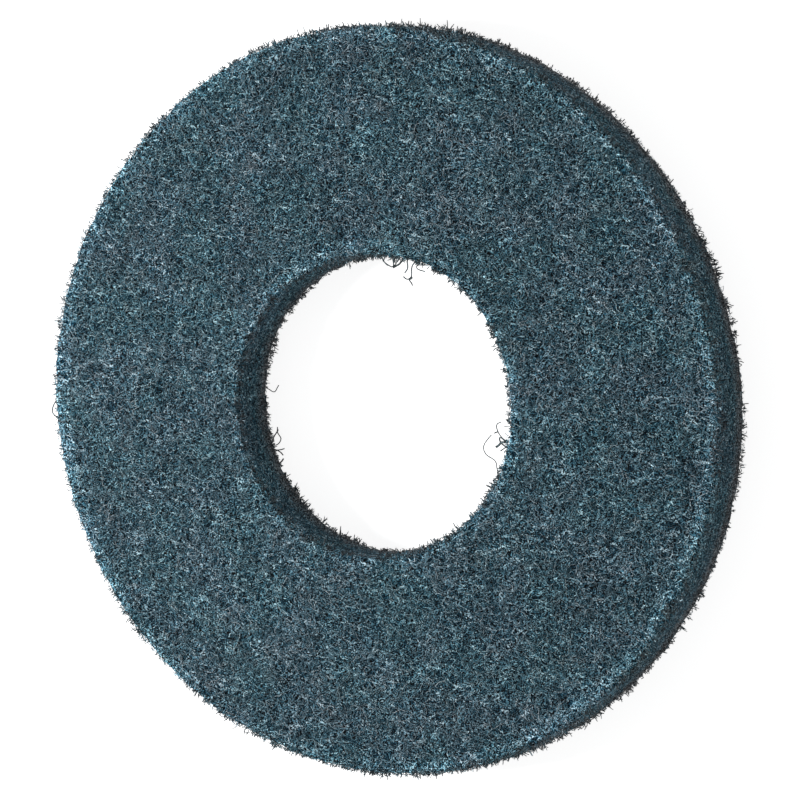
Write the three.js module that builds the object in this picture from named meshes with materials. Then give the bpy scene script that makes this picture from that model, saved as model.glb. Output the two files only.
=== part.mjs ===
// A floor polishing pad: one thick flat ring of springy nonwoven fibre web, die cut
// from a sheet, with a round centre hole. Millimetres, +Z up. The pad lies flat, and
// the origin is in the middle of the face that it lies on.

import * as THREE from "three";
import { mergeVertices } from "three/addons/utils/BufferGeometryUtils.js";

// Driving dimensions
const outerDiameter = 240;
const holeDiameter = 98;
const thickness = 20;

// Rounding of the rims, where a face turns into a cut wall
const outerRimRadius = 2;
const holeRimRadius = 1.5;

// The cut edges aren't true circles. Each swell is a number of lobes round the pad, how
// far they stand out, and the direction of the first one, counted from +X towards +Y.
const outerOval = { lobes: 2, height: 0.38, peakDegrees: -41 };
const outerThreeLobe = { lobes: 3, height: 0.35, peakDegrees: -44 };
const outerFourLobe = { lobes: 4, height: 0.3, peakDegrees: 1 };
const outerRipple = { lobes: 6, height: 0.15, peakDegrees: -3 };
const holeOval = { lobes: 2, height: 0.7, peakDegrees: 24 };
const holeThreeLobe = { lobes: 3, height: 0.2, peakDegrees: 50 };
const holeFourLobe = { lobes: 4, height: 0.3, peakDegrees: -32 };

// The hole is cut a little off centre: a swell of one lobe moves it in the lobe's direction
const holeOffCentre = { lobes: 1, height: 0.9, peakDegrees: -109 };

// The web is uneven: between flat lands the surface sinks in shallow hollows
const faceHollowDepth = 0.9;
const faceHollowPitch = 22;
const wallHollowDepth = 0.7;
const wallHollowPitch = 24;
const rimFade = 7;

// A hollow starts where the waves that shape it rise past this share of their height
const hollowStart = 0.45;

// Where the waves of each surface start, in radians, so that no two look alike
const waveStart = { upperFace: 1, lowerFace: 2, outerWall: 3, holeWall: 4 };

// Fineness of the surface
const faceStep = 6;
const wallStep = 5;
const rimSteps = 3;
const turnSteps = 96;

// Colour and finish of the fibre web
const webColour = 0x3f545d;
const webRoughness = 0.85;
const webMetalness = 0;

const outerRadius = outerDiameter / 2;
const holeRadius = holeDiameter / 2;
const goldenAngle = Math.PI * (3 - Math.sqrt(5));

// The section's outline, as points (radius, height) that run round it once and close.
function sectionPoints() {
  const outline = [];

  function straight(fromRadius, fromHeight, toRadius, toHeight, step) {
    const length = Math.hypot(toRadius - fromRadius, toHeight - fromHeight);
    const pieces = Math.max(2, Math.round(length / step));
    for (let piece = 0; piece < pieces; piece += 1) {
      const share = piece / pieces;
      outline.push(new THREE.Vector2(
        THREE.MathUtils.lerp(fromRadius, toRadius, share),
        THREE.MathUtils.lerp(fromHeight, toHeight, share),
      ));
    }
  }

  function rim(centreRadius, centreHeight, rimRadius, startAngle) {
    for (let piece = 0; piece < rimSteps; piece += 1) {
      const angle = startAngle + (piece / rimSteps) * (Math.PI / 2);
      outline.push(new THREE.Vector2(
        centreRadius + rimRadius * Math.cos(angle),
        centreHeight + rimRadius * Math.sin(angle),
      ));
    }
  }

  const outerCentre = outerRadius - outerRimRadius;
  const holeCentre = holeRadius + holeRimRadius;
  const upperOuter = thickness - outerRimRadius;
  const upperHole = thickness - holeRimRadius;
  straight(holeCentre, 0, outerCentre, 0, faceStep);
  rim(outerCentre, outerRimRadius, outerRimRadius, -Math.PI / 2);
  straight(outerRadius, outerRimRadius, outerRadius, upperOuter, wallStep);
  rim(outerCentre, upperOuter, outerRimRadius, 0);
  straight(outerCentre, thickness, holeCentre, thickness, faceStep);
  rim(holeCentre, upperHole, holeRimRadius, Math.PI / 2);
  straight(holeRadius, upperHole, holeRadius, holeRimRadius, wallStep);
  rim(holeCentre, holeRimRadius, holeRimRadius, Math.PI);
  outline.push(outline[0].clone());
  return outline;
}

// How far an edge stands out from its circle in one direction, in all its swells.
function standOut(angle, swells) {
  let sum = 0;
  for (const swell of swells) {
    const peak = THREE.MathUtils.degToRad(swell.peakDegrees);
    sum += swell.height * Math.cos(swell.lobes * (angle - peak));
  }
  return sum;
}

// Turns crossing waves into hollows: 0 on the flat lands, about 1 at a hollow's bottom.
function hollowFrom(waveSum, waves) {
  const level = waveSum / Math.sqrt(waves);
  return THREE.MathUtils.clamp((level - hollowStart) / (1 - hollowStart), 0, 1);
}

// Hollows over a face, where waves of several lengths cross in all directions.
function faceHollow(x, y, start) {
  const waves = 6;
  let sum = 0;
  for (let wave = 0; wave < waves; wave += 1) {
    const direction = start + wave * goldenAngle;
    const length = faceHollowPitch * (1 + wave / waves);
    const along = x * Math.cos(direction) + y * Math.sin(direction);
    sum += Math.sin((2 * Math.PI * along) / length + wave * start);
  }
  return hollowFrom(sum, waves);
}

// Hollows round a wall, where waves run both ways round it and slant up and down.
function wallHollow(angle, height, radius, start) {
  const waves = 4;
  let sum = 0;
  for (let wave = 0; wave < waves; wave += 1) {
    const length = wallHollowPitch * (1 + wave / waves);
    const wholeWaves = Math.round((2 * Math.PI * radius) / length);
    const slant = ((wave - (waves - 1) / 2) * Math.PI * height) / length;
    sum += Math.sin(wholeWaves * angle + slant + wave * goldenAngle + start);
  }
  return hollowFrom(sum, waves);
}

// 0 where a rim starts, rising to 1 well inside a surface.
function insideShare(distance) {
  return THREE.MathUtils.smoothstep(distance, 0, rimFade);
}

// How deep a hollow of the outer or the hole's wall is at a height.
function wallSink(angle, height, radius, rimRadius, start) {
  const fromRims = Math.min(height, thickness - height) - rimRadius;
  return wallHollowDepth * insideShare(fromRims) * wallHollow(angle, height, radius, start);
}

// How deep a hollow of a face is at a point.
function faceSink(x, y, start) {
  const radius = Math.hypot(x, y);
  const fromHole = radius - holeRadius - holeRimRadius;
  const fromEdge = outerRadius - outerRimRadius - radius;
  return faceHollowDepth * insideShare(Math.min(fromHole, fromEdge)) * faceHollow(x, y, start);
}

// Turns a point of the true ring into the point of the real, uneven one.
function unevenPoint(point) {
  const sameSurface = 1e-3;
  const radius = Math.hypot(point.x, point.y);
  const angle = Math.atan2(point.y, point.x);
  const fromHole = (radius - holeRadius) / (outerRadius - holeRadius);
  const atHole = standOut(angle, [holeOffCentre, holeOval, holeThreeLobe, holeFourLobe]);
  const atEdge = standOut(angle, [outerOval, outerThreeLobe, outerFourLobe, outerRipple]);
  let newRadius = radius + THREE.MathUtils.lerp(atHole, atEdge, fromHole);
  let newHeight = point.z;
  if (Math.abs(radius - outerRadius) < sameSurface) {
    newRadius -= wallSink(angle, point.z, outerRadius, outerRimRadius, waveStart.outerWall);
  } else if (Math.abs(radius - holeRadius) < sameSurface) {
    newRadius += wallSink(angle, point.z, holeRadius, holeRimRadius, waveStart.holeWall);
  } else if (Math.abs(point.z - thickness) < sameSurface) {
    newHeight -= faceSink(point.x, point.y, waveStart.upperFace);
  } else if (Math.abs(point.z) < sameSurface) {
    newHeight += faceSink(point.x, point.y, waveStart.lowerFace);
  }
  return new THREE.Vector3(
    newRadius * Math.cos(angle),
    newRadius * Math.sin(angle),
    newHeight,
  );
}

function padGeometry() {
  const turned = new THREE.LatheGeometry(sectionPoints(), turnSteps);
  turned.rotateX(Math.PI / 2);
  turned.deleteAttribute("normal");
  turned.deleteAttribute("uv");
  const geometry = mergeVertices(turned);
  const positions = geometry.getAttribute("position");
  const point = new THREE.Vector3();
  for (let index = 0; index < positions.count; index += 1) {
    point.fromBufferAttribute(positions, index);
    const moved = unevenPoint(point);
    positions.setXYZ(index, moved.x, moved.y, moved.z);
  }

  // The swells move the middle a little, so it goes back over the origin
  geometry.computeBoundingBox();
  const middle = geometry.boundingBox.getCenter(new THREE.Vector3());
  geometry.translate(-middle.x, -middle.y, 0);
  geometry.computeVertexNormals();
  return geometry;
}

function pad() {
  const material = new THREE.MeshStandardMaterial({
    color: webColour,
    roughness: webRoughness,
    metalness: webMetalness,
  });
  const mesh = new THREE.Mesh(padGeometry(), material);
  mesh.name = "pad";
  return mesh;
}

const model = new THREE.Group();
model.add(pad());

export default model;
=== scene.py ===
import math

import bmesh
import bpy
import numpy as np
from mathutils import Matrix, Vector
from mathutils.bvhtree import BVHTree
from mathutils.noise import noise as smooth_noise


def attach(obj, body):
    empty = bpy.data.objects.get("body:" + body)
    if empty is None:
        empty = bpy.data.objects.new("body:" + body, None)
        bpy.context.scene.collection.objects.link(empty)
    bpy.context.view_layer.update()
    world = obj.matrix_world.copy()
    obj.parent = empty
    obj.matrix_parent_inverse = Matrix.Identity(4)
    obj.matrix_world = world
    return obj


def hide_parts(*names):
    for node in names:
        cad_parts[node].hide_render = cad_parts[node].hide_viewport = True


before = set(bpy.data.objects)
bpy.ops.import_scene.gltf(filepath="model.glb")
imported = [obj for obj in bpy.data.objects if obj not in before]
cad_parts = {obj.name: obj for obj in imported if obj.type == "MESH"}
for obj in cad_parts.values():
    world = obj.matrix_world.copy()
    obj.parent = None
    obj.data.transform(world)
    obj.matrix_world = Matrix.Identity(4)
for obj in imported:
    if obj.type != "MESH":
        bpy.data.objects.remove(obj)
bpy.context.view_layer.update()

# Sizes in metres. The pad lies on z = 0, and its middle is on the Z axis.
MM = 0.001
OUTER_RADIUS = 120 * MM
HOLE_RADIUS = 49 * MM
THICKNESS = 20 * MM
OUTER_RIM = 2 * MM
HOLE_RIM = 1.5 * MM

# How the cut edges leave their circles, as in the CAD: a number of lobes, how far they stand
# out in millimetres, and the direction of the first in degrees. The CAD then moves its own
# middle over the origin, and the centre of the hole ends up a little over a millimetre off it.
EDGE_SWELLS = ((2, 0.38, -41), (3, 0.35, -44), (4, 0.3, 1), (6, 0.15, -3))
HOLE_SWELLS = ((1, 0.9, -109), (2, 0.7, 24), (3, 0.2, 50), (4, 0.3, -32))
MIDDLE_SHIFT = (0.23 * MM, -0.25 * MM)
HOLE_CENTRE = (-0.07 * MM, -1.1 * MM, 0)

# The photograph's view: what the camera looks at, how far it leans off the pad's axis,
# towards which side, how far away it stands, and its lens and sensor in millimetres.
VIEW_AIM = (0, -0.55 * MM, 0)
VIEW_LEAN = math.radians(28.73)
VIEW_SIDE = math.radians(101.13)
VIEW_DISTANCE = 1.1308
VIEW_LENS = 156.74
VIEW_SENSOR = 36

# The web: the lumpy core lies under the skin by one depth on the faces and by another
# on the cut walls, fuller at the rims, and the fibres fill the space up to the skin
FACE_CORE_DEPTH = 0.95 * MM
WALL_CORE_DEPTH = 0.4 * MM
CORE_STEP = 1.5 * MM
FIBRE_RADIUS = 0.092 * MM
FIBRE_SIDES = 3

# How far the web stands out past its rounded rims: at the hole, and at the outer edge, where
# each pair is a direction in degrees and a distance in millimetres. The wall between the rims
# stands out by a share of it.
HOLE_RIM_FILL = 0.05 * MM
EDGE_RIM_FILL = (
    (-180, 1.2), (-120, 0.7), (-80, 0.1), (-40, 0.9), (90, 0.4), (150, 1.1), (180, 1.2),
)
WALL_FILL_SHARE = 0.35

# The core and the middle lines of the fibres stay between these two heights
LOWEST = 0.15 * MM
HIGHEST = THICKNESS + 0.7 * MM

# Painted light on the cut walls: how much lighter the coat is drawn there than on the faces, low and at
# their top
WALL_PAINTED_LIGHT = 1.5
WALL_TOP_PAINTED_LIGHT = 2.3

# Clouds of light and dark: the scale of the noise, its detail, its shift and its strength
CLOUDS = (
    (330, 2.0, (4, 4, 4), 0.35),
    (40, 1.0, (8, 3, 5), 0.3),
)
DARKEST_CLOUD = 0.2

# Fine grit in the coat: its scale, and how far it darkens and lightens the core and the fibres
GRIT_SCALE = 2300
CORE_GRIT = (0.0, 2.0)
FIBRE_GRIT = (0.3, 1.7)

# Painted glints: the scale of their cells, the share of cells that have one, and how bright they are
GLINT_SCALE = 500
GLINT_SHARE = 0.08
GLINT_GAIN = 1.1

# Strands drawn on the core, from the deepest and darkest layer up, each deeper layer darker as a painted
# shade: the scale of the noise, the width of a line in it, its shift, the way the lines run in degrees,
# and their colour. The gaps under them are painted near black as shade.
DEEP_GAP_SHADE = (0.001, 0.010, 0.017)
STRAND_STRETCH = 3.0
STRAND_LAYERS = (
    (820, 0.062, (0, 0, 0), 20, (0.012, 0.034, 0.048)),
    (780, 0.058, (3, 1, 2), 157, (0.022, 0.052, 0.070)),
    (740, 0.052, (7, 5, 1), 295, (0.038, 0.076, 0.097)),
    (700, 0.046, (2, 8, 4), 72, (0.068, 0.112, 0.136)),
    (660, 0.040, (5, 3, 9), 210, (0.120, 0.168, 0.192)),
    (620, 0.028, (8, 2, 6), 347, (0.240, 0.275, 0.295)),
)

# Ramps of colour, each stop a position and a colour
# The fibres' colours: the low tones, which deep fibres get, are a painted shade, and the pale grey top is
# partly a painted sheen
TEAL_FIBRE = (
    (0.0, (0.008, 0.032, 0.045)),
    (0.35, (0.040, 0.088, 0.112)),
    (0.7, (0.150, 0.196, 0.224)),
    (1.0, (0.340, 0.335, 0.345)),
)
GREY_TIP = (
    (0.0, (0.010, 0.012, 0.013)),
    (0.6, (0.048, 0.052, 0.056)),
    (1.0, (0.200, 0.220, 0.235)),
)
TEAL_PATCHES = (
    (0.38, (0.82, 1.11, 1.16)),
    (0.62, (0.93, 1.09, 1.16)),
)
# Paler grey low on the cut walls
LOW_WALL_GREY = (
    (0.35, (0.035, 0.036, 0.039)),
    (0.65, (0.260, 0.255, 0.258)),
)

# How the fibres lie in the faces and in the cut walls: the points along each, its usual length,
# and how deep the deepest lies
LYING_POINTS = 6
FACE_FIBRE_LENGTH = 6.5 * MM
FACE_FIBRE_DEPTH = 0.9 * MM
WALL_FIBRE_LENGTH = 5.0 * MM
WALL_FIBRE_DEPTH = 0.8 * MM

# Tufts of cut ends on the walls and rims: the fibres in each, the points along a fibre, its
# usual length, and how far past a rim the rim's tufts go
TUFT_ENDS = 4
TUFT_POINTS = 3
WALL_TUFT_LENGTH = 1.4 * MM
RIM_TUFT_LENGTH = 1.7 * MM
RIM_TUFT_REACH = 1.5 * MM

# Loose hairs: the points along each, and the usual hair's thickness against a fibre's
HAIR_POINTS = 14
HAIR_THICKNESS = 2.0

# Where the loose hairs were read off the photograph: the whole of it, and close-ups of it
# at the hole. Each is the photograph's pixel at its left and at its top, and its enlargement.
PHOTO_SIDE = 800
WHOLE_PHOTO = (0, 0, 1)
TOP_CLOSE_UP = (365, 240, 19.6)
RIGHT_CLOSE_UP = (465, 405, 24.12)
LEFT_CLOSE_UP = (250, 380, 13.07)

# What the camera's line of sight met when the hairs were placed, close to the final VIEW_AIM
HAIR_AIM = (0.01 * MM, -0.72 * MM, 0)

# Where all the random draws start
SEED = 4107

# The stage: how bright the floor looks by itself, the light from all round, and the lamp
FLOOR_GLOW = 0.85
ROOM_LIGHT = 0.38
LAMP_PLACE = (-0.85, -0.05, 0.75)
LAMP_WIDTH = 0.3
LAMP_POWER = 16


# The ring's skin: a walk round its section, and round the pad

def section_walk(samples=64):
    """Lengths, points and outward normals round the section, from the upper face's inner end."""
    radii, heights, out_r, out_z = [], [], [], []

    def straight(r0, z0, r1, z1, nr, nz):
        share = np.linspace(0, 1, samples, endpoint=False)
        radii.extend(r0 + (r1 - r0) * share)
        heights.extend(z0 + (z1 - z0) * share)
        out_r.extend(np.full(samples, nr))
        out_z.extend(np.full(samples, nz))

    def rim(centre_r, centre_z, size, start):
        angle = start - np.linspace(0, math.pi / 2, samples, endpoint=False)
        radii.extend(centre_r + size * np.cos(angle))
        heights.extend(centre_z + size * np.sin(angle))
        out_r.extend(np.cos(angle))
        out_z.extend(np.sin(angle))

    near_hole, near_edge = HOLE_RADIUS + HOLE_RIM, OUTER_RADIUS - OUTER_RIM
    straight(near_hole, THICKNESS, near_edge, THICKNESS, 0, 1)
    rim(near_edge, THICKNESS - OUTER_RIM, OUTER_RIM, math.pi / 2)
    straight(OUTER_RADIUS, THICKNESS - OUTER_RIM, OUTER_RADIUS, OUTER_RIM, 1, 0)
    rim(near_edge, OUTER_RIM, OUTER_RIM, 0)
    straight(near_edge, 0, near_hole, 0, 0, -1)
    rim(near_hole, HOLE_RIM, HOLE_RIM, -math.pi / 2)
    straight(HOLE_RADIUS, HOLE_RIM, HOLE_RADIUS, THICKNESS - HOLE_RIM, -1, 0)
    rim(near_hole, THICKNESS - HOLE_RIM, HOLE_RIM, math.pi)
    walk = [np.array(values + [values[0]]) for values in (radii, heights, out_r, out_z)]
    steps = np.hypot(np.diff(walk[0]), np.diff(walk[1]))
    return np.concatenate([[0], np.cumsum(steps)]), *walk


WALK, WALK_R, WALK_Z, WALK_NR, WALK_NZ = section_walk()
WALK_LENGTH = WALK[-1]

# Where each surface starts and ends along the walk
FACE_LENGTH = OUTER_RADIUS - OUTER_RIM - HOLE_RADIUS - HOLE_RIM
OUTER_RIM_LENGTH = OUTER_RIM * math.pi / 2
HOLE_RIM_LENGTH = HOLE_RIM * math.pi / 2
OUTER_WALL = (FACE_LENGTH, FACE_LENGTH + 2 * OUTER_RIM_LENGTH + THICKNESS - 2 * OUTER_RIM)
LOWER_FACE = (OUTER_WALL[1], OUTER_WALL[1] + FACE_LENGTH)
HOLE_WALL = (LOWER_FACE[1], WALK_LENGTH)
UPPER_FACE = (0, FACE_LENGTH)

# Fibres in the faces: the name of each piece, its surface and how many fibres it has
FACE_SETS = (
    ("upper_fibres_a", UPPER_FACE, 5800),
    ("upper_fibres_b", UPPER_FACE, 5800),
    ("lower_fibres_a", LOWER_FACE, 1900),
    ("lower_fibres_b", LOWER_FACE, 1900),
)

# Fibres of the cut walls: the start of their pieces' names, the wall's place on the walk, its
# rims' length, how many fibres lie in it, and how many tufts stand on it and on each rim
WALL_SETS = (
    ("outer_wall", OUTER_WALL, OUTER_RIM_LENGTH, 3300, 760, 1200),
    ("hole_wall", HOLE_WALL, HOLE_RIM_LENGTH, 1400, 320, 480),
)


def cad_skin():
    """The surface of the CAD solid, ready for finding the nearest point on it."""
    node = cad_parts["pad"]
    solid = bmesh.new()
    solid.from_mesh(node.data)
    tree = BVHTree.FromBMesh(solid)
    solid.free()
    return tree


CAD_SKIN = cad_skin()


def stand_out(turn, swells):
    """How far an edge stands out from its circle in each direction."""
    return sum(height * MM * np.cos(lobes * (turn - math.radians(peak)))
               for lobes, height, peak in swells)


def rim_fill(turn, share):
    """How far the web stands out past the middle of a rim: the hole's at share 0, the edge's at 1."""
    directions, fills = zip(*EDGE_RIM_FILL)
    within_half_turns = np.degrees(np.arctan2(np.sin(turn), np.cos(turn)))
    at_edge = MM * np.interp(within_half_turns, directions, fills)
    return np.where(share > 0.5, at_edge, HOLE_RIM_FILL)


def on_skin(along, turn, depth):
    """Points at a depth under the web's skin, for arrays of walk length, direction and depth.

    The web's skin is the CAD solid's, standing out by the rim fill at the rims and walls."""
    along = np.mod(along, WALK_LENGTH)
    radius = np.interp(along, WALK, WALK_R)
    share = (radius - HOLE_RADIUS) / (OUTER_RADIUS - HOLE_RADIUS)
    at_hole = (1 - share) * stand_out(turn, HOLE_SWELLS)
    radius = radius + at_hole + share * stand_out(turn, EDGE_SWELLS)
    height = np.interp(along, WALK, WALK_Z)
    normal_r = np.interp(along, WALK, WALK_NR)
    normal_z = np.interp(along, WALK, WALK_NZ)
    across = radius * np.cos(turn) + MIDDLE_SHIFT[0]
    ring = np.stack([across, radius * np.sin(turn) + MIDDLE_SHIFT[1], height], axis=-1)
    normal = np.stack([normal_r * np.cos(turn), normal_r * np.sin(turn), normal_z], axis=-1)
    normal /= np.linalg.norm(normal, axis=-1, keepdims=True)
    nearest = np.array([CAD_SKIN.find_nearest(point)[0] for point in ring.reshape(-1, 3)])
    lift = np.sum((nearest.reshape(ring.shape) - ring) * normal, axis=-1)
    fill_share = 2 * np.abs(normal_r * normal_z) + WALL_FILL_SHARE * normal_r ** 2
    lift += rim_fill(turn, share) * fill_share
    placed = ring + normal * (lift - depth)[..., None]
    placed[..., 2] = np.clip(placed[..., 2], LOWEST, HIGHEST)
    return placed


# Materials. Each helper adds nodes to a tree and gives back the socket with their result.

def new_material(name):
    """A material that holds one Principled shader, with its tree and that shader."""
    material = bpy.data.materials.new(name)
    material.use_nodes = True
    tree = material.node_tree
    tree.nodes.clear()
    shader = tree.nodes.new("ShaderNodeBsdfPrincipled")
    output = tree.nodes.new("ShaderNodeOutputMaterial")
    tree.links.new(shader.outputs["BSDF"], output.inputs["Surface"])
    return material, tree, shader


def ramp(tree, value, stops):
    """The colour at a value along a ramp of stops, each a position and a colour."""
    node = tree.nodes.new("ShaderNodeValToRGB")
    tree.links.new(value, node.inputs["Fac"])
    elements = node.color_ramp.elements
    while len(elements) < len(stops):
        elements.new(0.5)
    for element, (position, colour) in zip(elements, stops):
        element.position = position
        element.color = (*colour, 1)
    return node.outputs["Color"]


def noise_texture(tree, scale, detail=2.0, roughness=0.5, distortion=0.0,
                  shift=(0, 0, 0), turn=0.0, stretch=1.0):
    """Noise over the object, drawn out along one direction by a stretch of more than 1."""
    place = tree.nodes.new("ShaderNodeTexCoord")
    mapping = tree.nodes.new("ShaderNodeMapping")
    mapping.vector_type = "TEXTURE"
    mapping.inputs["Location"].default_value = shift
    mapping.inputs["Rotation"].default_value = (0, 0, turn)
    mapping.inputs["Scale"].default_value = (stretch, 1, 1)
    tree.links.new(place.outputs["Object"], mapping.inputs["Vector"])
    texture = tree.nodes.new("ShaderNodeTexNoise")
    texture.inputs["Scale"].default_value = scale
    texture.inputs["Detail"].default_value = detail
    texture.inputs["Roughness"].default_value = roughness
    texture.inputs["Distortion"].default_value = distortion
    tree.links.new(mapping.outputs["Vector"], texture.inputs["Vector"])
    return texture.outputs["Fac"]


def math_node(tree, operation, *values):
    """One step of arithmetic on numbers and sockets."""
    node = tree.nodes.new("ShaderNodeMath")
    node.operation = operation
    for socket, value in zip(node.inputs, values):
        if isinstance(value, (int, float)):
            socket.default_value = value
        else:
            tree.links.new(value, socket)
    return node.outputs["Value"]


def mix_colour(tree, factor, first, second, blend="MIX"):
    """Two colours mixed by a factor, each given as numbers or as a socket."""
    node = tree.nodes.new("ShaderNodeMix")
    node.data_type = "RGBA"
    node.blend_type = blend
    sockets = [socket for socket in node.inputs if socket.enabled]
    for socket, value in zip(sockets, (factor, first, second)):
        if isinstance(value, tuple):
            socket.default_value = (*value, 1)
        elif isinstance(value, (int, float)):
            socket.default_value = value
        else:
            tree.links.new(value, socket)
    return next(socket for socket in node.outputs if socket.enabled)


def between(tree, value, low, high, at_low=0.0, at_high=1.0):
    """A smooth step from one number to another as the value goes from low to high."""
    node = tree.nodes.new("ShaderNodeMapRange")
    node.interpolation_type = "SMOOTHSTEP"
    tree.links.new(value, node.inputs["Value"])
    node.inputs["From Min"].default_value = low
    node.inputs["From Max"].default_value = high
    node.inputs["To Min"].default_value = at_low
    node.inputs["To Max"].default_value = at_high
    return node.outputs["Result"]


def object_place(tree, axis):
    """The object's own coordinate along X, Y or Z."""
    place = tree.nodes.new("ShaderNodeTexCoord")
    split = tree.nodes.new("ShaderNodeSeparateXYZ")
    tree.links.new(place.outputs["Object"], split.inputs["Vector"])
    return split.outputs[axis]


def distance_from(tree, centre):
    """The distance from an upright axis through a centre."""
    place = tree.nodes.new("ShaderNodeTexCoord")
    moved = tree.nodes.new("ShaderNodeVectorMath")
    moved.operation = "SUBTRACT"
    moved.inputs[1].default_value = centre
    tree.links.new(place.outputs["Object"], moved.inputs[0])
    flat = tree.nodes.new("ShaderNodeVectorMath")
    flat.operation = "MULTIPLY"
    flat.inputs[1].default_value = (1, 1, 0)
    tree.links.new(moved.outputs["Vector"], flat.inputs[0])
    length = tree.nodes.new("ShaderNodeVectorMath")
    length.operation = "LENGTH"
    tree.links.new(flat.outputs["Vector"], length.inputs[0])
    return length.outputs["Value"]


def clouds_and_grit(tree, grit_range):
    """Soft clouds of light and dark over the web, and a fine grit in them."""
    clouds = 1.0
    for scale, detail, shift, strength in CLOUDS:
        value = noise_texture(tree, scale, detail=detail, roughness=0.6, shift=shift)
        off_middle = math_node(tree, "SUBTRACT", value, 0.5)
        clouds = math_node(tree, "MULTIPLY_ADD", off_middle, strength, clouds)
    clouds = math_node(tree, "MAXIMUM", clouds, DARKEST_CLOUD)
    grains = noise_texture(tree, GRIT_SCALE, detail=0.0, shift=(6, 2, 7))
    grit = between(tree, grains, 0.36, 0.64, *grit_range)
    return math_node(tree, "MULTIPLY", clouds, grit)


def glints(tree):
    """1 on a few spots about half a millimetre wide, where a painted glint stands for a fibre catching the
    light, else 0.
    """
    place = tree.nodes.new("ShaderNodeTexCoord")
    cells = tree.nodes.new("ShaderNodeTexVoronoi")
    cells.inputs["Scale"].default_value = GLINT_SCALE
    tree.links.new(place.outputs["Object"], cells.inputs["Vector"])
    near = between(tree, cells.outputs["Distance"], 0.2, 0.33, 1.0, 0.0)
    pick = tree.nodes.new("ShaderNodeSeparateColor")
    tree.links.new(cells.outputs["Color"], pick.inputs["Color"])
    chosen = math_node(tree, "GREATER_THAN", pick.outputs["Red"], 1 - GLINT_SHARE)
    return math_node(tree, "MULTIPLY", near, chosen)


def dense_rims_and_sheen(tree, on_face, from_axis, from_hole):
    """How much lighter the faces are drawn close to the cut walls, which changes across the pad: partly a
    denser web at the rims, partly painted sheen, strongest where a rim faces the lamp.
    """
    sideways = object_place(tree, "X")
    at_edge = between(tree, from_axis, 114 * MM, 119 * MM)
    # Painted light: the rims are drawn lighter on the side that faces the lamp
    edge_gain = between(tree, sideways, -115 * MM, -30 * MM, 1.3, 0.75)
    at_edge = math_node(tree, "MULTIPLY", at_edge, edge_gain)
    at_hole = between(tree, from_hole, 49.5 * MM, 55 * MM, 1.0, 0.0)
    hole_gain = between(tree, sideways, 10 * MM, 50 * MM, 0.4, 1.2)
    at_hole = math_node(tree, "MULTIPLY", at_hole, hole_gain)
    return math_node(tree, "MULTIPLY", on_face, math_node(tree, "ADD", at_edge, at_hole))


def wall_share(tree, on_face, from_axis, from_hole):
    """1 on the cut walls, and 0 on the faces and in their hollows."""
    near_edge = between(tree, from_axis, 114.5 * MM, 116.5 * MM)
    near_hole = between(tree, from_hole, 52.5 * MM, 54.5 * MM, 1.0, 0.0)
    near_walls = math_node(tree, "MAXIMUM", near_edge, near_hole)
    off_face = math_node(tree, "SUBTRACT", 1.0, on_face)
    return math_node(tree, "MULTIPLY", off_face, near_walls)


def web_shade(tree, grit_range):
    """How light the web is drawn from place to place: its own mottling and grit, with painted sheen at the
    rims, painted light on the cut walls and painted glints; with its height and the share of cut wall.
    """
    height = object_place(tree, "Z")
    off_middle = math_node(tree, "ABSOLUTE", math_node(tree, "SUBTRACT", height, 0.5 * THICKNESS))
    on_face = between(tree, off_middle, 7.6 * MM, 9.2 * MM)
    from_axis = distance_from(tree, (0, 0, 0))
    from_hole = distance_from(tree, HOLE_CENTRE)

    # Painted sheen at the rims, partly a denser web, lightens the faces there
    rim_sheen_gain = math_node(tree, "ADD", dense_rims_and_sheen(tree, on_face, from_axis, from_hole), 1.0)
    level = math_node(tree, "MULTIPLY", clouds_and_grit(tree, grit_range), rim_sheen_gain)

    on_wall = wall_share(tree, on_face, from_axis, from_hole)
    # Painted light: the cut walls are drawn lighter than the faces, most at their top
    painted_wall_light = between(tree, height, 13 * MM, 19 * MM, WALL_PAINTED_LIGHT, WALL_TOP_PAINTED_LIGHT)
    painted_wall_extra = math_node(tree, "SUBTRACT", painted_wall_light, 1.0)
    painted_wall_gain = math_node(tree, "MULTIPLY_ADD", painted_wall_extra, on_wall, 1.0)
    level = math_node(tree, "MULTIPLY", level, painted_wall_gain)

    # Painted glints lighten the colour on a few spots
    glint_gain = math_node(tree, "MULTIPLY_ADD", glints(tree), GLINT_GAIN, 1.0)
    return math_node(tree, "MULTIPLY", level, glint_gain), height, on_wall


def shaded(tree, colour, grit_range):
    """The colour times the web's mottling and painted light, with faint teal patches, and paler and greyer
    low on the walls.
    """
    shade, height, on_wall = web_shade(tree, grit_range)
    patches = noise_texture(tree, 55, detail=1.0, shift=(9, 6, 2))
    colour = mix_colour(tree, 1.0, colour, ramp(tree, patches, TEAL_PATCHES), "MULTIPLY")
    # Paler and greyer towards the bottom of the cut walls
    low_down = between(tree, height, 1 * MM, 9 * MM, 0.8, 0.0)
    low_wall_grey = math_node(tree, "MULTIPLY", low_down, on_wall)
    specks = noise_texture(tree, 900, shift=(1, 1, 8))
    colour = mix_colour(tree, low_wall_grey, colour, ramp(tree, specks, LOW_WALL_GREY))
    brightness = tree.nodes.new("ShaderNodeCombineColor")
    for channel in ("Red", "Green", "Blue"):
        tree.links.new(shade, brightness.inputs[channel])
    return mix_colour(tree, 1.0, colour, brightness.outputs["Color"], "MULTIPLY")


def strand_lines(tree, scale, width, shift, turn):
    """1 on thin lines that run mostly one way, where a drawn-out noise crosses its middle, else 0."""
    value = noise_texture(tree, scale, detail=0.0, distortion=0.5, shift=shift,
                          turn=math.radians(turn), stretch=STRAND_STRETCH)
    off_middle = math_node(tree, "ABSOLUTE", math_node(tree, "SUBTRACT", value, 0.5))
    return between(tree, off_middle, 0.5 * width, width, 1.0, 0.0)


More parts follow.
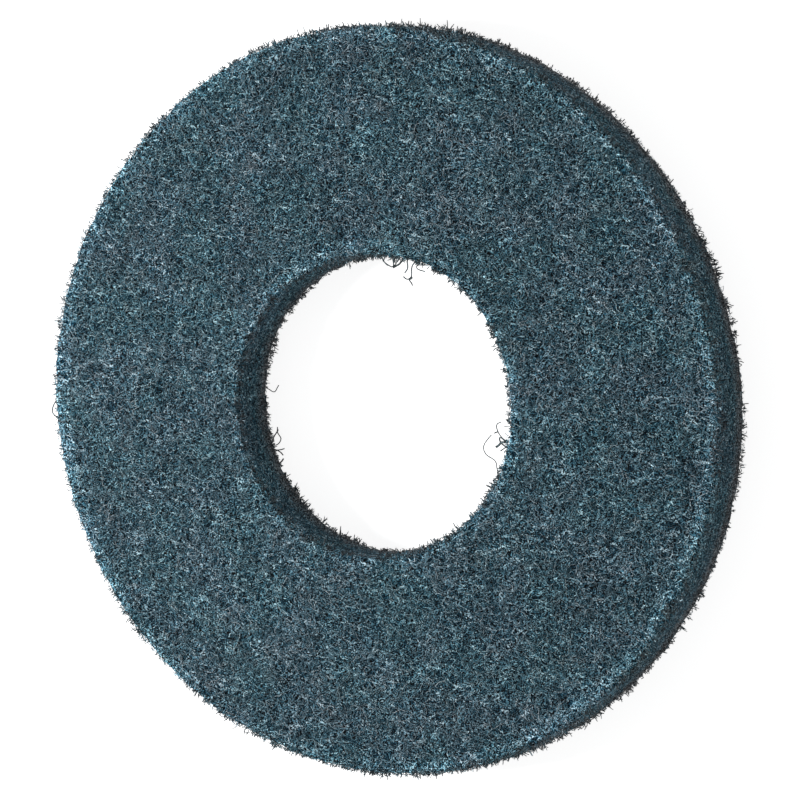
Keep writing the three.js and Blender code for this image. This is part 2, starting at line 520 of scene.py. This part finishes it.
def web_core_material():
    """The web seen between its surface fibres: deep teal gaps, painted dark as shade, crossed by curling
    strands painted darker the deeper they lie.
    """
    material, tree, shader = new_material("web_core")
    # Painted shade: the gaps near black, and each deeper layer of strands darker
    colour = DEEP_GAP_SHADE
    height = None
    for scale, width, shift, turn, strand in STRAND_LAYERS:
        line = strand_lines(tree, scale, width, shift, turn)
        colour = mix_colour(tree, line, colour, strand)
        height = line if height is None else math_node(tree, "MAXIMUM", height, line)
    tree.links.new(shaded(tree, colour, CORE_GRIT), shader.inputs["Base Color"])
    shader.inputs["Roughness"].default_value = 0.8
    shader.inputs["Specular IOR Level"].default_value = 0.08
    bump = tree.nodes.new("ShaderNodeBump")
    bump.inputs["Strength"].default_value = 0.8
    bump.inputs["Distance"].default_value = 0.4 * MM
    tree.links.new(height, bump.inputs["Height"])
    tree.links.new(bump.outputs["Normal"], shader.inputs["Normal"])
    return material


def fibre_material(name, stops):
    """Resin-coated fibre: each has its own tone along a ramp of colours."""
    material, tree, shader = new_material(name)
    tone = tree.nodes.new("ShaderNodeAttribute")
    tone.attribute_name = "tone"
    colour = ramp(tree, tone.outputs["Fac"], stops)
    tree.links.new(shaded(tree, colour, FIBRE_GRIT), shader.inputs["Base Color"])
    shader.inputs["Roughness"].default_value = 0.5
    shader.inputs["Specular IOR Level"].default_value = 0.25
    return material


# The core of the web

def pad_core():
    """The ring itself, a little inside its skin, lumpy and pitted like the web."""
    rows = int(round(WALK_LENGTH / CORE_STEP))
    turns = int(round(math.pi * (OUTER_RADIUS + HOLE_RADIUS) / CORE_STEP))
    along = np.linspace(0, WALK_LENGTH, rows, endpoint=False)
    section = bmesh.new()
    corners = [section.verts.new((radius, 0, height)) for radius, height in zip(
        np.interp(along, WALK, WALK_R), np.interp(along, WALK, WALK_Z))]
    edges = [section.edges.new((corners[row], corners[(row + 1) % rows])) for row in range(rows)]
    bmesh.ops.spin(section, geom=corners + edges, cent=(0, 0, 0), axis=(0, 0, 1),
                   angle=2 * math.pi, steps=turns, use_merge=True)
    bmesh.ops.recalc_face_normals(section, faces=section.faces)
    mesh = bpy.data.meshes.new("pad_core")
    section.to_mesh(mesh)
    section.free()

    places = np.empty(len(mesh.vertices) * 3)
    mesh.vertices.foreach_get("co", places)
    places = places.reshape(-1, 3)
    radius = np.hypot(places[:, 0], places[:, 1])
    turn = np.arctan2(places[:, 1], places[:, 0])
    walk_points = np.stack([WALK_R, WALK_Z], axis=-1)
    row_of = np.array([np.argmin((walk_points[:, 0] - r) ** 2 + (walk_points[:, 1] - z) ** 2)
                       for r, z in zip(radius, places[:, 2])])
    lumps = np.array([pit_depth(point) for point in places])
    depth = FACE_CORE_DEPTH + (WALL_CORE_DEPTH - FACE_CORE_DEPTH) * WALK_NR[row_of] ** 2
    placed = on_skin(WALK[row_of], turn, depth + lumps)
    mesh.vertices.foreach_set("co", placed.ravel())
    mesh.update()
    for polygon in mesh.polygons:
        polygon.use_smooth = True
    core = bpy.data.objects.new("pad_core", mesh)
    bpy.context.collection.objects.link(core)
    return core


def pit_depth(point):
    """How much deeper the core lies at a point: wide hollows and small pits."""
    place = Vector(point)
    wide = smooth_noise(place / (14 * MM))
    lumps = smooth_noise(place / (4.2 * MM) + Vector((5, 2, 9)))
    pits = smooth_noise(place / (2.6 * MM) + Vector((1, 7, 3)))
    return (0.08 * wide + 0.3 * lumps + 0.45 * pits) * MM


# Fibres

def fibre_section():
    """The fibre's own cross section, a small closed curve with FIBRE_SIDES corners."""
    curve = bpy.data.curves.new("fibre_section", "CURVE")
    curve.dimensions = "2D"
    spline = curve.splines.new("POLY")
    spline.points.add(FIBRE_SIDES - 1)
    for index, point in enumerate(spline.points):
        angle = 2 * math.pi * index / FIBRE_SIDES
        point.co = (FIBRE_RADIUS * math.cos(angle), FIBRE_RADIUS * math.sin(angle), 0, 1)
    spline.use_cyclic_u = True
    section = bpy.data.objects.new("fibre_section", curve)
    bpy.context.collection.objects.link(section)
    return section


def fibres_from_paths(name, paths, thickness, tone, material):
    """A mesh of many fibres. paths is (fibre, point, 3), thickness (fibre, point), tone (fibre)."""
    count, points = paths.shape[:2]
    section = fibre_section()
    curve = bpy.data.curves.new(name, "CURVE")
    curve.dimensions = "3D"
    curve.bevel_mode = "OBJECT"
    curve.bevel_object = section
    curve.use_fill_caps = True
    curve.twist_mode = "MINIMUM"
    homogeneous = np.concatenate([paths, np.ones((count, points, 1))], axis=2)
    for index in range(count):
        spline = curve.splines.new("POLY")
        spline.points.add(points - 1)
        spline.points.foreach_set("co", homogeneous[index].ravel())
        spline.points.foreach_set("radius", thickness[index])
    drawn = bpy.data.objects.new(name + "_drawn", curve)
    bpy.context.collection.objects.link(drawn)
    evaluated = drawn.evaluated_get(bpy.context.evaluated_depsgraph_get())
    mesh = bpy.data.meshes.new_from_object(evaluated)
    mesh.name = name
    bpy.data.objects.remove(drawn)
    bpy.data.curves.remove(curve)
    bpy.data.objects.remove(section)

    # The caps come as loose faces, and merging their corners with the tube's closes it
    tubes = bmesh.new()
    tubes.from_mesh(mesh)
    bmesh.ops.remove_doubles(tubes, verts=tubes.verts, dist=1e-7)
    tubes.to_mesh(mesh)
    tubes.free()

    ring = points * FIBRE_SIDES
    if len(mesh.vertices) != count * ring:
        raise RuntimeError(f"{name}: {len(mesh.vertices)} vertices, not {count * ring}")
    attribute = mesh.attributes.new("tone", "FLOAT", "POINT")
    attribute.data.foreach_set("value", np.repeat(tone, ring).astype(np.float32))
    map_one_cell_each(mesh, count, points)
    mesh.materials.clear()
    mesh.materials.append(material)
    piece = bpy.data.objects.new(name, mesh)
    bpy.context.collection.objects.link(piece)
    return piece


def map_one_cell_each(mesh, count, points):
    """A UV map with one square cell for each fibre: along it one way, round it the other.

    The side of the fibre fills the middle of the cell, and its caps lie at the two ends."""
    loops = np.empty(len(mesh.loops), dtype=np.int64)
    mesh.loops.foreach_get("vertex_index", loops)
    sizes = np.empty(len(mesh.polygons), dtype=np.int64)
    mesh.polygons.foreach_get("loop_total", sizes)
    face_of = np.repeat(np.arange(len(sizes)), sizes)
    fibre = loops // (points * FIBRE_SIDES)
    within = loops % (points * FIBRE_SIDES)
    step, corner = within // FIBRE_SIDES, within % FIBRE_SIDES
    first = np.concatenate([[0], np.cumsum(sizes)[:-1]])
    low = np.minimum.reduceat(corner, first)[face_of]
    high = np.maximum.reduceat(corner, first)[face_of]
    at_one_step = np.maximum.reduceat(step, first) == np.minimum.reduceat(step, first)
    is_cap = ((sizes == FIBRE_SIDES) & at_one_step)[face_of]

    # On the last side of a fibre, its first corner counts as one past the last
    past_seam = (low == 0) & (high == FIBRE_SIDES - 1) & (corner == 0)
    around = np.where(past_seam, FIBRE_SIDES, corner).astype(float)
    across = np.where(is_cap, 0.15 + 0.7 * (corner == 1), 0.04 + 0.92 * around / FIBRE_SIDES)
    cap_run = np.where(step == 0, 0.02, 0.92) + 0.06 * (corner == 2)
    run = np.where(is_cap, cap_run, 0.1 + 0.8 * step / (points - 1))
    side = math.ceil(math.sqrt(count))
    u = (fibre % side + run) / side
    v = (fibre // side + across) / side
    layer = mesh.uv_layers.new(name="OFBake")
    layer.data.foreach_set("uv", np.stack([u, v], axis=-1).astype(np.float32).ravel())


def spread_over(rng, count, start, end):
    """Places spread evenly by area between two lengths along the walk."""
    inside = np.linspace(start, end, 400)
    weight = np.cumsum(np.interp(np.mod(inside, WALK_LENGTH), WALK, WALK_R))
    along = np.interp(rng.random(count) * weight[-1], weight, inside)
    return along, rng.random(count) * 2 * math.pi


def lying_fibres(rng, count, start, end, length, deepest):
    """Crimped fibres that lie in the web's surface and dip in and out of it, and how deep each lies."""
    along0, turn0 = spread_over(rng, count, start, end)
    heading0 = rng.random(count) * 2 * math.pi

    # Each bends steadily one way, in radians per metre, and crimps in waves on top of that
    bend = rng.normal(0, 110, count)
    crimp = rng.uniform(0.5, 1.4, count)
    crimp_length = rng.uniform(3.0, 6.0, count) * MM
    crimp_start = rng.random(count) * 2 * math.pi

    # It lies at a depth of its own, and dips in longer waves
    middle = rng.random(count) ** 1.2 * deepest
    dip = rng.uniform(0.15, 0.5, count) * MM
    dip_length = rng.uniform(4, 9, count) * MM
    dip_start = rng.random(count) * 2 * math.pi

    lengths = length * rng.uniform(0.7, 1.25, count)
    step = lengths / (LYING_POINTS - 1)
    along = np.empty((count, LYING_POINTS))
    turn = np.empty((count, LYING_POINTS))
    along[:, 0], turn[:, 0] = along0, turn0
    for index in range(1, LYING_POINTS):
        gone = step * (index - 0.5)
        heading = heading0 + bend * gone + crimp * np.sin(2 * math.pi * gone / crimp_length + crimp_start)
        radius = np.interp(np.mod(along[:, index - 1], WALK_LENGTH), WALK, WALK_R)
        along[:, index] = along[:, index - 1] + step * np.cos(heading)
        turn[:, index] = turn[:, index - 1] + step * np.sin(heading) / radius
    gone = step[:, None] * np.arange(LYING_POINTS)
    wave = np.sin(2 * math.pi * gone / dip_length[:, None] + dip_start[:, None])
    depth = middle[:, None] + dip[:, None] * wave
    return on_skin(along, turn, depth), middle / deepest


def tufts(rng, count, start, end, length):
    """Small tufts of cut fibre ends that stand out of a wall. The ends of one lean much the same way."""
    ends = count * TUFT_ENDS
    along0, turn0 = spread_over(rng, count, start, end)
    heading = np.repeat(rng.random(count) * 2 * math.pi, TUFT_ENDS) + rng.normal(0, 1.0, ends)
    lean = np.repeat(rng.uniform(0.0, 1.1, count), TUFT_ENDS) + rng.normal(0, 0.35, ends)
    lengths = length * np.repeat(rng.uniform(0.45, 1.3, count), TUFT_ENDS) * rng.uniform(0.5, 1.2, ends)

    # Tufts are longer in some directions than in others
    lengths *= np.repeat(1 + 0.2 * np.sin(5 * turn0) + 0.25 * np.sin(13 * turn0 + 2), TUFT_ENDS)
    along0 = np.repeat(along0, TUFT_ENDS) + rng.normal(0, 0.6, ends) * MM
    turn0 = np.repeat(turn0, TUFT_ENDS) + rng.normal(0, 0.6, ends) * MM / OUTER_RADIUS
    curl = rng.normal(0, 1.7, ends)
    step = lengths / (TUFT_POINTS - 1)
    along = np.empty((ends, TUFT_POINTS))
    turn = np.empty((ends, TUFT_POINTS))
    depth = np.empty((ends, TUFT_POINTS))
    along[:, 0], turn[:, 0] = along0, turn0
    depth[:, 0] = rng.uniform(0.2, 0.6, ends) * MM
    for index in range(1, TUFT_POINTS):
        share = (index - 0.5) / (TUFT_POINTS - 1)
        tilt = lean * (0.4 + share) + curl * share
        way = heading + curl * share
        radius = np.interp(np.mod(along[:, index - 1], WALK_LENGTH), WALK, WALK_R)
        along[:, index] = along[:, index - 1] + step * np.sin(tilt) * np.cos(way)
        turn[:, index] = turn[:, index - 1] + step * np.sin(tilt) * np.sin(way) / radius
        depth[:, index] = depth[:, index - 1] - step * np.cos(tilt)
    return on_skin(along, turn, depth)


def depth_shaded_tones(rng, depth_share):
    """The tone of each fibre: pale near the surface and dark below it, a painted shade from the web above
    it, with a random spread.
    """
    return np.clip(0.78 - 0.55 * depth_share + rng.normal(0, 0.23, len(depth_share)), 0, 1)


def taper(rng, count, points, tip):
    """Thickness along each fibre as a share of the usual, a little thinner at its ends."""
    share = np.ones(points)
    share[0] = share[-1] = tip
    return rng.uniform(0.75, 1.3, count)[:, None] * share[None, :]


def smooth_path(corners, points):
    """A line through given corners, rounded and cut into even steps."""
    line = np.array(corners, dtype=float)
    for _ in range(3):
        middles = 0.25 * line[:-1] + 0.75 * line[1:]
        starts = 0.75 * line[:-1] + 0.25 * line[1:]
        cut_corners = np.stack([starts, middles], axis=1).reshape(-1, line.shape[1])
        line = np.concatenate([line[:1], cut_corners, line[-1:]])
    steps = np.concatenate([[0], np.cumsum(np.linalg.norm(np.diff(line, axis=0), axis=1))])
    even = np.linspace(0, steps[-1], points)
    return np.stack([np.interp(even, steps, line[:, axis]) for axis in range(line.shape[1])], axis=-1)


def finish_piece(piece):
    """Ties a piece to the pad's one body."""
    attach(piece, "root")


def dress_face(rng, name, surface, count):
    """Fibres that lie in one face."""
    paths, depth_share = lying_fibres(rng, count, *surface, FACE_FIBRE_LENGTH, FACE_FIBRE_DEPTH)
    thickness = taper(rng, count, LYING_POINTS, 0.7)
    # Deeper fibres get darker tones, a painted shade
    tone = depth_shaded_tones(rng, depth_share)
    finish_piece(fibres_from_paths(name, paths, thickness, tone, coated_fibre))


def dress_wall(rng, name, surface, rim_length, lying, inner, at_rim):
    """Fibres that lie in one cut wall, tufts that stand on it, and grey tufts along its two rims."""
    start, end = surface
    paths, depth_share = lying_fibres(rng, lying, start, end, WALL_FIBRE_LENGTH, WALL_FIBRE_DEPTH)
    thickness = taper(rng, lying, LYING_POINTS, 0.7)
    # Deeper fibres get darker tones, a painted shade
    tone = 0.75 * depth_shaded_tones(rng, depth_share)
    finish_piece(fibres_from_paths(name + "_fibres", paths, thickness, tone, coated_fibre))

    paths = tufts(rng, inner, start, end, WALL_TUFT_LENGTH)
    thickness = 1.3 * taper(rng, len(paths), TUFT_POINTS, 0.8)
    tone = 0.6 * rng.random(len(paths))
    finish_piece(fibres_from_paths(name + "_tufts", paths, thickness, tone, coated_fibre))

    reach = rim_length + RIM_TUFT_REACH
    first_rim = tufts(rng, at_rim, start, start + reach, RIM_TUFT_LENGTH)
    second_rim = tufts(rng, at_rim, end - reach, end, RIM_TUFT_LENGTH)
    paths = np.concatenate([first_rim, second_rim])
    thickness = 1.8 * taper(rng, len(paths), TUFT_POINTS, 0.7)
    tone = rng.random(len(paths)) ** 1.5
    finish_piece(fibres_from_paths(name + "_rim_tufts", paths, thickness, tone, grey_tip))


def camera_directions():
    """The photograph's camera's own directions, upright to the pad's Y axis: back, right and up."""
    back = Vector((math.sin(VIEW_LEAN) * math.sin(VIEW_SIDE),
                   -math.sin(VIEW_LEAN) * math.cos(VIEW_SIDE),
                   math.cos(VIEW_LEAN)))
    right = Vector((0, 1, 0)).cross(back).normalized()
    return back, right, back.cross(right)


def place_read(close_up, reading, height):
    """Where a line of sight through a place read off a close-up is at a height: x and y."""
    left, top, enlargement = close_up
    back, right, up = camera_directions()
    focal_length = PHOTO_SIDE * VIEW_LENS / VIEW_SENSOR
    across = (left + reading[0] / enlargement - PHOTO_SIDE / 2) / focal_length
    down = (top + reading[1] / enlargement - PHOTO_SIDE / 2) / focal_length
    sight = right * across - up * down - back
    eye = Vector(HAIR_AIM) + back * VIEW_DISTANCE
    place = eye + sight * ((height - eye.z) / sight.z)
    return place.x, place.y


def hang_hairs(rng, name, hairs):
    """Single fibres that hang free, along their own lines, each swaying up and down a little."""
    paths = []
    for close_up, height, _, readings in hairs:
        corners = [place_read(close_up, reading, height * MM) for reading in readings]
        line = smooth_path(corners, HAIR_POINTS)
        sway = 0.5 * MM * np.sin(np.linspace(0, 5, HAIR_POINTS) + len(paths))
        paths.append(np.column_stack([line, height * MM + sway]))
    shares = np.array([share for _, _, share, _ in hairs])
    thickness = HAIR_THICKNESS * shares[:, None] * np.ones((1, HAIR_POINTS))
    tone = rng.uniform(0.0, 0.4, len(hairs))
    finish_piece(fibres_from_paths(name, np.array(paths), thickness, tone, grey_tip))


# Loose hairs, where the photograph shows single fibres hanging free. Each is the close-up that it
# was read from, its height in millimetres, a thickness against the usual hair's, and the places
# that it passes, in pixels of the close-up from its left and from its top.
LOOSE_HAIRS = (
    (TOP_CLOSE_UP, 17, 1.2, ((335, 240), (345, 360), (400, 430), (470, 480), (550, 530), (600, 450),
                             (655, 340), (640, 260))),
    (TOP_CLOSE_UP, 17, 1.2, ((550, 250), (540, 420), (550, 530))),
    (TOP_CLOSE_UP, 17, 0.8, ((330, 300), (340, 380), (370, 440), (430, 490), (480, 480))),
    (TOP_CLOSE_UP, 17, 1.9, ((550, 530), (620, 480), (655, 465), (700, 410), (780, 360), (830, 300))),
    (TOP_CLOSE_UP, 17, 1.3, ((830, 320), (810, 420), (835, 460), (855, 560), (785, 635))),
    (TOP_CLOSE_UP, 17, 1.3, ((1100, 330), (1040, 390), (960, 450), (930, 520), (925, 620), (905, 740))),
    (TOP_CLOSE_UP, 17, 1.3, ((905, 740), (840, 770), (735, 710))),
    (TOP_CLOSE_UP, 17, 1.3, ((905, 740), (870, 765), (915, 885))),
    (TOP_CLOSE_UP, 17, 2.6, ((915, 720), (900, 745), (875, 760))),
    (TOP_CLOSE_UP, 17, 1.1, ((1230, 480), (1150, 490), (1000, 480), (985, 520), (1040, 570), (1190, 605))),
    (RIGHT_CLOSE_UP, 17, 1.1, ((860, 400), (720, 460), (770, 610), (840, 710), (920, 790), (1020, 850),
                               (1120, 900))),
    (RIGHT_CLOSE_UP, 17, 1.3, ((770, 640), (715, 670))),
    (RIGHT_CLOSE_UP, 17, 1.0, ((630, 710), (540, 820), (445, 980), (480, 1110), (540, 1200), (680, 1280),
                               (760, 1350), (755, 1550), (800, 1650))),
    (RIGHT_CLOSE_UP, 17, 2.4, ((1050, 900), (880, 880), (790, 970), (730, 1010))),
    (RIGHT_CLOSE_UP, 17, 1.6, ((1080, 1030), (930, 960), (820, 860), (815, 750), (900, 800), (1010, 900))),
    (RIGHT_CLOSE_UP, 17, 1.3, ((1060, 980), (950, 1020), (870, 1100))),
    (LEFT_CLOSE_UP, 2.5, 1.0, ((190, 90), (225, 105), (290, 150), (340, 145), (385, 60))),
    (LEFT_CLOSE_UP, 2.5, 1.1, ((350, 610), (345, 680), (410, 740), (415, 780), (380, 830), (330, 850))),
    (LEFT_CLOSE_UP, 2.5, 1.3, ((290, 780), (330, 720), (350, 680), (360, 640))),
    (LEFT_CLOSE_UP, 2.5, 1.3, ((265, 900), (370, 910), (440, 890))),
    (LEFT_CLOSE_UP, 2.5, 1.3, ((275, 870), (370, 920), (430, 975))),
    (LEFT_CLOSE_UP, 2.5, 1.6, ((320, 1100), (380, 1080), (445, 1020))),
    (WHOLE_PHOTO, 18, 1.3, ((62, 397), (58, 398), (53.5, 402), (51.5, 410), (54, 414), (60.5, 418))),
)


# Stage, light and camera

def seen_directly(tree):
    """1 for what the camera sees, also in a mirror or through glass, and 0 for light on matte things."""
    rays = tree.nodes.new("ShaderNodeLightPath")
    sharp = math_node(tree, "MAXIMUM", rays.outputs["Is Glossy Ray"], rays.outputs["Is Transmission Ray"])
    return math_node(tree, "MAXIMUM", rays.outputs["Is Camera Ray"], sharp)


def white_floor():
    """A plain pale floor that looks white to the camera and keeps a faint shadow."""
    mesh = bpy.data.meshes.new("floor")
    plane = bmesh.new()
    bmesh.ops.create_grid(plane, x_segments=1, y_segments=1, size=6.0)
    plane.to_mesh(mesh)
    plane.free()
    floor = bpy.data.objects.new("floor", mesh)
    bpy.context.collection.objects.link(floor)
    material = bpy.data.materials.new("floor")
    material.use_nodes = True
    tree = material.node_tree
    tree.nodes.clear()
    matte = tree.nodes.new("ShaderNodeBsdfDiffuse")
    matte.inputs["Color"].default_value = (0.5, 0.5, 0.5, 1)
    glow = tree.nodes.new("ShaderNodeEmission")
    strength = math_node(tree, "MULTIPLY", seen_directly(tree), FLOOR_GLOW)
    tree.links.new(strength, glow.inputs["Strength"])
    both = tree.nodes.new("ShaderNodeAddShader")
    output = tree.nodes.new("ShaderNodeOutputMaterial")
    tree.links.new(matte.outputs["BSDF"], both.inputs[0])
    tree.links.new(glow.outputs["Emission"], both.inputs[1])
    tree.links.new(both.outputs["Shader"], output.inputs["Surface"])
    mesh.materials.append(material)


def pale_world():
    """Even light from all round, which the camera itself sees as plain white."""
    world = bpy.data.worlds.new("studio")
    bpy.context.scene.world = world
    world.use_nodes = True
    tree = world.node_tree
    background = tree.nodes["Background"]
    background.inputs["Color"].default_value = (1, 1, 1, 1)
    strength = math_node(tree, "MAXIMUM", seen_directly(tree), ROOM_LIGHT)
    tree.links.new(strength, background.inputs["Strength"])


def soft_lamp():
    """A round lamp to the left of the pad and above it, aimed at its middle."""
    light = bpy.data.lights.new("key_lamp", "AREA")
    light.shape = "DISK"
    light.size = LAMP_WIDTH
    light.energy = LAMP_POWER
    lamp = bpy.data.objects.new("key_lamp", light)
    lamp.location = LAMP_PLACE
    lamp.rotation_euler = (-Vector(LAMP_PLACE)).to_track_quat("-Z", "Y").to_euler()
    bpy.context.collection.objects.link(lamp)


def photograph_camera():
    """The camera that takes the photograph's view."""
    back, right, up = camera_directions()
    data = bpy.data.cameras.new("camera")
    data.sensor_width = VIEW_SENSOR
    data.lens = VIEW_LENS
    data.clip_start = 0.05
    camera = bpy.data.objects.new("camera", data)
    turned = Matrix((right, up, back)).transposed().to_4x4()
    camera.matrix_world = Matrix.Translation(Vector(VIEW_AIM) + back * VIEW_DISTANCE) @ turned
    bpy.context.collection.objects.link(camera)
    bpy.context.scene.camera = camera


core_material = web_core_material()
coated_fibre = fibre_material("coated_fibre", TEAL_FIBRE)
grey_tip = fibre_material("cut_tip", GREY_TIP)

core = pad_core()
core.data.materials.append(core_material)
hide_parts("pad")
finish_piece(core)

rng = np.random.default_rng(SEED)
for name, surface, count in FACE_SETS:
    dress_face(rng, name, surface, count)
for wall_set in WALL_SETS:
    dress_wall(rng, *wall_set)
hang_hairs(rng, "loose_hairs", LOOSE_HAIRS)

white_floor()
pale_world()
soft_lamp()
photograph_camera()
bpy.context.scene.view_settings.view_transform = "Standard"
